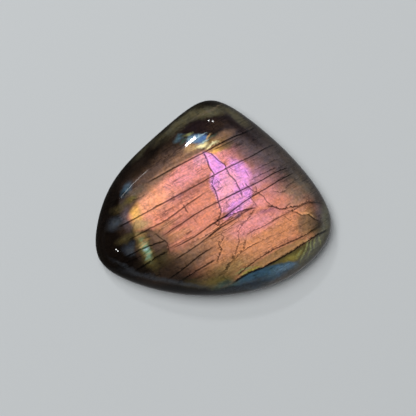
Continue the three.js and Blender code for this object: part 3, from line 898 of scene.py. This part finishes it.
def stone_colour(tree, tones, place):
    """The colour of the whole stone at a place in mm."""
    zones = zone_group()
    # The place seen from above, at height 1
    plan = add(
        tree,
        "ShaderNodeVectorMath",
        {0: place, 1: (1, 1, 0), 2: (0, 0, 1)},
        operation="MULTIPLY_ADD",
    )
    # Soft marks drift a little from their places, and sharp ones have ragged edges
    drifting = wandering(tree, plan, scale=0.45, reach=1.2)
    drifting = wandering(tree, drifting, scale=2.0, reach=0.6, detail=4.0)
    ragged = wandering(tree, plan, scale=1.2, reach=0.35, detail=4.0)

    # The near-black ground is the body's own colour, and along the left rim partly painted shade
    body = painted(tree, (*tones.soot, 1), tones, BODY_MARKS, zones, drifting, drifting)
    flash = painted(tree, (*tones.salmon, 1), tones, FLASH_MARKS, zones, drifting, ragged)
    flash = painted(tree, flash, tones, VIOLET_MARKS, zones, drifting, ragged)

    # The flash's sides are drawn out into streaks along the layers
    along_layers = drawn_out(tree, plan, CLEAVAGE_BEARING, along=0.25, across=1.6, seed=4.0)
    streaks = grain(tree, along_layers, scale=1.0, low=-0.07, high=0.07)
    flashing = product(tree, (side_share(tree, ragged, streaks, side) for side in FLASH_SIDES))
    colour = add(tree, "ShaderNodeMix", {"Factor": flashing, 6: body, 7: flash}, data_type="RGBA")
    colour = painted(tree, colour, tones, EDGE_MARKS, zones, drifting, ragged)

    height = add(tree, "ShaderNodeSeparateXYZ", {"Vector": place}).outputs["Z"]
    rim = add(
        tree,
        "ShaderNodeMapRange",
        {"Value": height, "From Min": RIM_TOP, "From Max": RIM_FOOT, "To Max": RIM_STRENGTH},
        interpolation_type="SMOOTHSTEP",
    )
    rim_tone = (*tones.olive_grey, 1)
    colour = add(tree, "ShaderNodeMix", {"Factor": rim, 6: colour, 7: rim_tone}, data_type="RGBA")
    # Painted light and painted reflections on the rim, then the pale feathers of flash over it
    colour = painted(tree, colour, tones, RIM_PAINTED_LIGHT_AND_FEATHERS, zones, drifting, ragged)

    # Everywhere the colour drifts a little between warmer and cooler
    warmer, cooler = (1.2, 1.13, 1.02, 1), (1.09, 1.11, 1.22, 1)
    drift = add(tree, "ShaderNodeTexNoise", {"Vector": drifting, "Scale": 1.3, "Detail": 4.0})
    cool_share = add(
        tree,
        "ShaderNodeMapRange",
        {"Value": drift, "From Min": WIDE_NOISE_LOW, "From Max": WIDE_NOISE_HIGH},
    )
    tint = add(tree, "ShaderNodeMix", {"Factor": cool_share, 6: warmer, 7: cooler}, data_type="RGBA")
    colour = add(tree, "ShaderNodeVectorMath", {0: colour, 1: tint}, operation="MULTIPLY")
    shade = product(tree, texture_shades(tree, place, plan))
    trembling = wandering(tree, plan, scale=1.5, reach=0.16, detail=3.0)
    shade = lined(tree, trembling, shade)
    return add(tree, "ShaderNodeVectorMath", {0: colour, "Scale": shade}, operation="SCALE")


def in_millimetres(tree):
    """The place on the stone in mm."""
    where = add(tree, "ShaderNodeTexCoord").outputs["Object"]
    return add(tree, "ShaderNodeVectorMath", {0: where, "Scale": 1 / MM}, operation="SCALE")


def polished_labradorite(tones):
    """Labradorite, domed and polished to a glassy gloss. Under the gloss, thin layers inside the
    smoky stone flash one broad patch of colour that goes from gold to violet."""
    material = bpy.data.materials.new("polished labradorite")
    material.use_nodes = True
    tree = material.node_tree
    surface = tree.nodes["Principled BSDF"]
    place = in_millimetres(tree)
    colour = stone_colour(tree, tones, place)
    tree.links.new(colour.outputs[0], surface.inputs["Base Color"])
    surface.inputs["IOR"].default_value = LABRADORITE_IOR
    # Polish leaves the stone nearly mirror-smooth, with faint smears a few mm across
    smears = grain(tree, place, scale=0.5, low=0.03, high=0.08)
    tree.links.new(smears.outputs[0], surface.inputs["Roughness"])
    # The last polishing marks are under 0.01 mm wide, and are drawn 0.1 mm wide so that they show
    polished_along = drawn_out(tree, place, bearing=70.0, along=0.4, across=5.0)
    marks = add(
        tree,
        "ShaderNodeTexNoise",
        {"Vector": polished_along, "Scale": 2.0, "Detail": 3.0},
    )
    relief = add(tree, "ShaderNodeBump", {"Height": marks, "Strength": 0.1, "Distance": 0.004 * MM})
    tree.links.new(relief.outputs[0], surface.inputs["Normal"])
    return material


def lapped_labradorite(tones):
    """Labradorite ground flat on a lap and left matt: a paler grey-green that hardly flashes, with
    straight cleavage lines and the lap's scratches in it."""
    material = bpy.data.materials.new("lapped labradorite")
    material.use_nodes = True
    tree = material.node_tree
    surface = tree.nodes["Principled BSDF"]
    place = in_millimetres(tree)
    drifting = wandering(tree, place, scale=0.3, reach=2.0, detail=3.0)
    clouds = add(tree, "ShaderNodeTexNoise", {"Vector": drifting, "Scale": 0.22, "Detail": 4.0})
    cloudy = add(
        tree,
        "ShaderNodeMapRange",
        {"Value": clouds, "From Min": NOISE_LOW, "From Max": NOISE_HIGH},
    )
    ground = add(
        tree,
        "ShaderNodeMix",
        {"Factor": cloudy, 6: (*tones.lapped_grey, 1), 7: (*tones.lapped_green, 1)},
        data_type="RGBA",
    )
    # The layers flash dully in a few broad bands
    bands = drawn_out(tree, drifting, CLEAVAGE_BEARING, along=0.08, across=0.2, seed=9.0)
    glow = add(tree, "ShaderNodeTexNoise", {"Vector": bands})
    dull_flash = add(
        tree,
        "ShaderNodeMapRange",
        {"Value": glow, "From Min": 0.5, "From Max": 0.7, "To Max": 0.35},
    )
    colour = add(
        tree,
        "ShaderNodeMix",
        {"Factor": dull_flash, 6: ground, 7: (*tones.slate_blue, 1)},
        data_type="RGBA",
    )
    # Feldspar grains too fine to see singly are drawn about 0.3 mm wide
    shade = product(
        tree,
        (
            grain(tree, place, scale=2.0, low=0.88, high=1.12),
            hairlines(tree, place, CLEAVAGE_BEARING, spacing=1.6, darkness=0.4, seed=11.0),
            hairlines(tree, place, CLEAVAGE_BEARING + 2, spacing=0.7, darkness=0.25, seed=5.0),
        ),
    )
    shaded = add(tree, "ShaderNodeVectorMath", {0: colour, "Scale": shade}, operation="SCALE")
    tree.links.new(shaded.outputs[0], surface.inputs["Base Color"])
    surface.inputs["IOR"].default_value = LABRADORITE_IOR
    # The lap's scratches are a few hundredths of a mm wide, and are drawn 0.1 mm wide so that
    # they show
    lapped_along = drawn_out(tree, place, bearing=-18.0, along=0.15, across=6.0)
    scratches = add(
        tree,
        "ShaderNodeTexNoise",
        {"Vector": lapped_along, "Scale": 1.5, "Detail": 3.0},
    )
    matt = add(
        tree,
        "ShaderNodeMapRange",
        {
            "Value": scratches,
            "From Min": WIDE_NOISE_LOW,
            "From Max": WIDE_NOISE_HIGH,
            "To Min": 0.42,
            "To Max": 0.6,
        },
    )
    tree.links.new(matt.outputs[0], surface.inputs["Roughness"])
    relief = add(tree, "ShaderNodeBump", {"Height": scratches, "Strength": 0.4, "Distance": 0.01 * MM})
    tree.links.new(relief.outputs[0], surface.inputs["Normal"])
    return material


class Cut:
    """The form of the cut stone in mm, fitted to the frame's box."""

    def __init__(self, shape):
        low, high = CAD_BOX
        self.size = (high - low) / MM
        self.middle = (high + low) / 2 / MM
        self.girdle = shape.girdle_height / MM
        self.foot = shape.wall_foot / MM
        self.lean = shape.wall_lean / MM
        self.bevel = shape.bevel_width / MM
        self.fullness = shape.crown_fullness
        self.waviness = shape.polish_waviness / MM
        bearings = np.radians(np.arange(0, 360, 0.5))
        reach = self.reach(bearings)
        across, up = reach * np.cos(bearings), reach * np.sin(bearings)
        self.scale = (self.size.x / np.ptp(across), self.size.y / np.ptp(up))
        self.shift = ((across.max() + across.min()) / 2, (up.max() + up.min()) / 2)

    @staticmethod
    def swell(distance, bearing):
        """1 at the middle of the dome, 0 on its outline and less outside."""
        level = 1 - distance**2
        for lobe in LOBES:
            level = level + lobe.reach * distance**lobe.count * np.cos(
                lobe.count * (bearing - math.radians(lobe.bearing))
            )
        return level

    def reach(self, bearing):
        """How far the outline is from the middle, found by halving the way to it."""
        well_outside, halvings = 1.6, 40
        inside, outside = np.zeros_like(bearing), np.full_like(bearing, well_outside)
        for _ in range(halvings):
            half = (inside + outside) / 2
            within = self.swell(half, bearing) > 0
            inside, outside = np.where(within, half, inside), np.where(within, outside, half)
        return (inside + outside) / 2

    def plan(self, distance, bearing):
        """The place in mm, seen from above."""
        across = (distance * np.cos(bearing) - self.shift[0]) * self.scale[0] + self.middle.x
        up = (distance * np.sin(bearing) - self.shift[1]) * self.scale[1] + self.middle.y
        return across, up

    def dome(self, distance, bearing):
        """The dome's height in mm."""
        level = np.maximum(self.swell(distance, bearing), 0)
        full = level * (1 + self.fullness * (1 - level))
        return self.girdle + (self.size.z - self.girdle) * np.sqrt(full)

    def dome_at(self, x, y):
        """The dome's height in mm over a place in mm."""
        across = (x - self.middle.x) / self.scale[0] + self.shift[0]
        up = (y - self.middle.y) / self.scale[1] + self.shift[1]
        return float(self.dome(np.hypot(across, up), np.arctan2(up, across)))

    def facing(self, x, y):
        """Which way the dome faces over a place in mm."""
        step = 0.01
        slope_x = (self.dome_at(x + step, y) - self.dome_at(x - step, y)) / (2 * step)
        slope_y = (self.dome_at(x, y + step) - self.dome_at(x, y - step)) / (2 * step)
        return Vector((-slope_x, -slope_y, 1)).normalized()


def rounded(corner, before, after):
    """Points on the bend that rounds a corner of the profile."""
    first = corner + (before - corner).normalized() * EDGE_ROUNDING
    last = corner + (after - corner).normalized() * EDGE_ROUNDING
    bend = []
    for step in range(ROUNDING_STEPS + 1):
        share = step / ROUNDING_STEPS
        bend.append((1 - share) ** 2 * first + 2 * share * (1 - share) * corner + share**2 * last)
    return bend


def disc_grid(cells):
    """A square grid drawn into a disc: each point's distance from the middle and bearing."""
    row = np.linspace(-1, 1, cells + 1)
    across, up = np.meshgrid(row, row, indexing="ij")
    wide = np.abs(across) > np.abs(up)
    distance = np.maximum(np.abs(across), np.abs(up))
    with np.errstate(divide="ignore", invalid="ignore"):
        in_wide = np.pi / 4 * np.nan_to_num(up / across) + np.where(across < 0, np.pi, 0)
        in_tall = np.pi / 2 - np.pi / 4 * np.nan_to_num(across / up) + np.where(up < 0, np.pi, 0)
    return distance, np.where(wide, in_wide, in_tall)


def grid_rim(cells):
    """The grid's outside points, in order round the disc, as indices."""

    def index(across, up):
        return across * (cells + 1) + up

    right = [index(cells, up) for up in range(cells)]
    top = [index(across, cells) for across in range(cells, 0, -1)]
    left = [index(0, up) for up in range(cells, 0, -1)]
    bottom = [index(across, 0) for across in range(cells)]
    return right + top + left + bottom


def side_profile(cut, mean_radius):
    """The wall and the bevel from the girdle down, with rounded edges: how far each point is inside
    the outline, and its height, in mm."""
    wall = []
    for step in range(1, WALL_STEPS + 1):
        fall = step / WALL_STEPS
        wall.append(Vector((cut.lean * fall**2, cut.girdle + (cut.foot - cut.girdle) * fall)))
    foot = Vector((cut.lean, cut.foot))
    edge = Vector((cut.lean + cut.bevel, 0))
    back = Vector((mean_radius, 0))
    return wall[:-1] + rounded(foot, wall[-2], edge) + rounded(edge, foot, back)


def stone_faces(cells, rings, first_flat):
    """The faces of the dome and the back, which are grids, and of the side between them, and the
    finish of each."""
    faces, finish = [], []
    side = cells + 1
    for across in range(cells):
        for up in range(cells):
            corner = across * side + up
            faces.append((corner, corner + side, corner + side + 1, corner + 1))
            finish.append(POLISHED)
            low = first_flat + corner
            faces.append((low, low + 1, low + side + 1, low + side))
            finish.append(LAPPED)
    for number, (upper, lower) in enumerate(zip(rings, rings[1:])):
        for step in range(len(upper)):
            after = (step + 1) % len(upper)
            faces.append((upper[step], lower[step], lower[after], upper[after]))
            finish.append(POLISHED if number < WALL_STEPS else LAPPED)
    return faces, finish


def stone_mesh(cut, cells):
    """The whole stone as one closed mesh: a dome and a flat back from disc grids, and a side
    between. The profile's last point is the flat back's rim."""
    distance, bearing = disc_grid(cells)
    reach = cut.reach(bearing)
    near_rim = np.sin(distance * np.pi / 2)
    x, y = cut.plan(near_rim * reach, bearing)
    z = cut.dome(near_rim * reach, bearing)
    # The hollows are a few mm across, and their lengths and turns never fall in step
    hollow = np.sin(x / 2.1 + 0.7 * np.sin(y / 3.3))
    hollow += np.sin(y / 1.7 + 1.3) * np.sin(x / 3.1 + y / 4.3 + 0.5)
    z -= cut.waviness * (hollow + 2) / 2 * (1 - near_rim**4)
    points = [np.stack((x, y, z), axis=-1).reshape(-1, 3)]

    rim = grid_rim(cells)
    rim_bearing, rim_reach = bearing.reshape(-1)[rim], reach.reshape(-1)[rim]
    mean_radius = (cut.size.x + cut.size.y) / 4
    profile = side_profile(cut, mean_radius)
    rings = [rim]
    first = len(points[0])
    for inset, height in profile[:-1]:
        ring_x, ring_y = cut.plan(rim_reach * (1 - inset / mean_radius), rim_bearing)
        points.append(np.stack((ring_x, ring_y, np.full_like(ring_x, height)), axis=-1))
        rings.append(range(first, first + len(rim)))
        first += len(rim)
    last_inset = profile[-1][0]
    flat_x, flat_y = cut.plan(distance * reach * (1 - last_inset / mean_radius), bearing)
    points.append(np.stack((flat_x, flat_y, np.zeros_like(flat_x)), axis=-1).reshape(-1, 3))
    rings.append([first + index for index in rim])

    faces, finish = stone_faces(cells, rings, first)
    mesh = bpy.data.meshes.new("cabochon")
    mesh.from_pydata((np.concatenate(points) * MM).tolist(), [], faces)
    mesh.polygons.foreach_set("material_index", finish)
    mesh.polygons.foreach_set("use_smooth", [True] * len(faces))
    mesh.update()
    return mesh


class CutCabochon(bpy.types.Operator):
    """Cut the stone and polish its dome"""

    bl_idname = "object.cut_cabochon"
    bl_label = "Cut Cabochon"

    def execute(self, context):
        scene = context.scene
        cut = Cut(scene.cabochon_shape)
        mesh = stone_mesh(cut, scene.cabochon_shape.cells)
        stone = bpy.data.objects.new("labradorite_cabochon", mesh)
        scene.collection.objects.link(stone)
        mesh.materials.append(polished_labradorite(scene.cabochon_tones))
        mesh.materials.append(lapped_labradorite(scene.cabochon_tones))
        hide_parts("cabochon")
        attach(stone, "root")
        return {"FINISHED"}


def camera_place():
    """Straight above the middle of the picture, in mm."""
    aside = (IMAGE_SIDE / 2 - PHOTO_STONE_MIDDLE[0]) / PHOTO_PIXELS_PER_MM
    up = (PHOTO_STONE_MIDDLE[1] - IMAGE_SIDE / 2) / PHOTO_PIXELS_PER_MM
    return Vector((aside, up, GIRDLE_HEIGHT + CAMERA_DISTANCE))


def mirrored(cut, x, y):
    """Where a lamp stands, in mm, so that the camera sees it mirrored at this place on the dome."""
    place = Vector((x, y, cut.dome_at(x, y)))
    to_camera = (camera_place() - place).normalized()
    facing = cut.facing(x, y)
    return place + (2 * facing.dot(to_camera) * facing - to_camera) * LAMP_DISTANCE


def softbox(scene, name, place, across, size, radiance, glossy=True):
    """An area lamp that faces the stone. Across is the way its longer side runs, and sizes are
    in mm."""
    data = bpy.data.lights.new(name, "AREA")
    data.shape = "RECTANGLE"
    data.size, data.size_y = size[0] * MM, size[1] * MM
    data.energy = radiance * math.pi * data.size * data.size_y
    lamp = bpy.data.objects.new(name, data)
    back = place.normalized()
    side = (across - across.dot(back) * back).normalized()
    axes = Matrix((side, back.cross(side), back)).transposed()
    lamp.matrix_world = Matrix.Translation(place * MM) @ axes.to_4x4()
    lamp.visible_camera = False
    lamp.visible_glossy = glossy
    scene.collection.objects.link(lamp)


def lay_board(scene, colour):
    """A board with a matt coat of paint, which takes the stone's soft shadow and has no gloss."""
    half = BOARD_HALF_SIDE * MM
    corners = [(-half, -half, 0), (half, -half, 0), (half, half, 0), (-half, half, 0)]
    board = bpy.data.meshes.new("table_board")
    board.from_pydata(corners, [], [(0, 1, 2, 3)])
    floor = bpy.data.objects.new("table_board", board)
    floor.location.z = -BOARD_GAP * MM
    scene.collection.objects.link(floor)
    paint_coat = bpy.data.materials.new("matt painted board")
    paint_coat.use_nodes = True
    surface = paint_coat.node_tree.nodes["Principled BSDF"]
    surface.inputs["Base Color"].default_value = (*colour, 1)
    surface.inputs["Roughness"].default_value = 0.7
    board.materials.append(paint_coat)
    # The stone's gloss doesn't mirror the table, which would veil its dark rim
    floor.visible_glossy = False


def light_room(scene):
    """The soft room round the table, which the stone's gloss mirrors."""
    sky = bpy.data.worlds.new("soft room")
    scene.world = sky
    sky.use_nodes = True
    tree = sky.node_tree
    way = add(tree, "ShaderNodeTexCoord").outputs["Generated"]
    height = add(tree, "ShaderNodeSeparateXYZ", {"Vector": way}).outputs["Z"]
    share = add(tree, "ShaderNodeMapRange", {"Value": height, "From Min": -1.0, "From Max": 1.0})
    ramp = add(tree, "ShaderNodeValToRGB", {"Fac": share})
    stops = ramp.color_ramp.elements
    stops[0].color = ROOM_BELOW
    stops[1].color = ROOM_ABOVE
    # Between its ends the soft light is a little blue
    for place, level in ROOM_LEVELS:
        stops.new(place).color = (level, level * 1.01, level * 1.03, 1)
    aside = add(
        tree,
        "ShaderNodeVectorMath",
        {0: way, 1: ROOM_BRIGHT_SIDE},
        operation="DOT_PRODUCT",
    )
    brighter = add(
        tree,
        "ShaderNodeMapRange",
        {
            "Value": aside,
            "From Min": -0.4,
            "From Max": 0.7,
            "To Min": ROOM_DIMMEST,
            "To Max": ROOM_BRIGHTEST,
        },
    )
    room = add(tree, "ShaderNodeVectorMath", {0: ramp, "Scale": brighter}, operation="SCALE")
    tree.links.new(room.outputs[0], tree.nodes["Background"].inputs["Color"])


def set_lamps(scene, table, cut):
    """The broad soft light, and the lamps that the dome mirrors as a glint, a streak and dots."""
    softbox(
        scene,
        "overhead_light",
        OVERHEAD_PLACE,
        LEVEL_ACROSS,
        OVERHEAD_SIZE,
        table.soft_light,
        glossy=False,
    )
    key = mirrored(cut, *KEY_PLACE)
    softbox(scene, "key_light", key, KEY_ACROSS, KEY_SIZE, table.key_light)
    first, last = (mirrored(cut, *place) for place in STREAK_ENDS)
    along = last - first
    strip_size = (along.length, STREAK_WIDTH)
    softbox(scene, "strip_light", (first + last) / 2, along, strip_size, STREAK_RADIANCE)
    for number, place in enumerate(DOT_PLACES):
        name = f"small_light_{number}"
        softbox(scene, name, mirrored(cut, *place), LEVEL_ACROSS, DOT_SIZE, DOT_RADIANCE)


def place_camera(scene):
    """The camera looks straight down, with the lens that gives the photograph's frame."""
    data = bpy.data.cameras.new("camera")
    data.sensor_width = SENSOR_WIDTH
    data.lens = SENSOR_WIDTH * CAMERA_DISTANCE * PHOTO_PIXELS_PER_MM / IMAGE_SIDE
    data.clip_start = NEAREST_SEEN * MM
    camera = bpy.data.objects.new("camera", data)
    camera.location = camera_place() * MM
    scene.collection.objects.link(camera)
    scene.camera = camera


class SetTable(bpy.types.Operator):
    """Lay the stone on a pale table, light it and place the camera"""

    bl_idname = "scene.set_cabochon_table"
    bl_label = "Set Table"

    def execute(self, context):
        scene = context.scene
        table = scene.cabochon_table
        scene.view_settings.view_transform = "Standard"
        lay_board(scene, table.board)
        light_room(scene)
        set_lamps(scene, table, Cut(scene.cabochon_shape))
        place_camera(scene)
        return {"FINISHED"}


class CabochonPanel(bpy.types.Panel):
    """The cabochon's steps in the sidebar"""

    bl_label = "Labradorite Cabochon"
    bl_idname = "VIEW3D_PT_cabochon"
    bl_space_type = "VIEW_3D"
    bl_region_type = "UI"
    bl_category = "Cabochon"

    def draw(self, context):
        for operator in (CutCabochon, SetTable):
            self.layout.operator(operator.bl_idname)
        for name in ("cabochon_shape", "cabochon_tones", "cabochon_table"):
            group = getattr(context.scene, name)
            box = self.layout.box()
            for setting in group.__annotations__:
                box.prop(group, setting)


CLASSES = (CabochonShape, CabochonTones, TableSettings, CutCabochon, SetTable, CabochonPanel)


def register():
    for added in CLASSES:
        bpy.utils.register_class(added)
    bpy.types.Scene.cabochon_shape = PointerProperty(type=CabochonShape)
    bpy.types.Scene.cabochon_tones = PointerProperty(type=CabochonTones)
    bpy.types.Scene.cabochon_table = PointerProperty(type=TableSettings)


def unregister():
    for name in ("cabochon_shape", "cabochon_tones", "cabochon_table"):
        delattr(bpy.types.Scene, name)
    for added in reversed(CLASSES):
        bpy.utils.unregister_class(added)


def main():
    register()
    bpy.ops.object.cut_cabochon()
    bpy.ops.scene.set_cabochon_table()


if __name__ == "__main__":
    main()
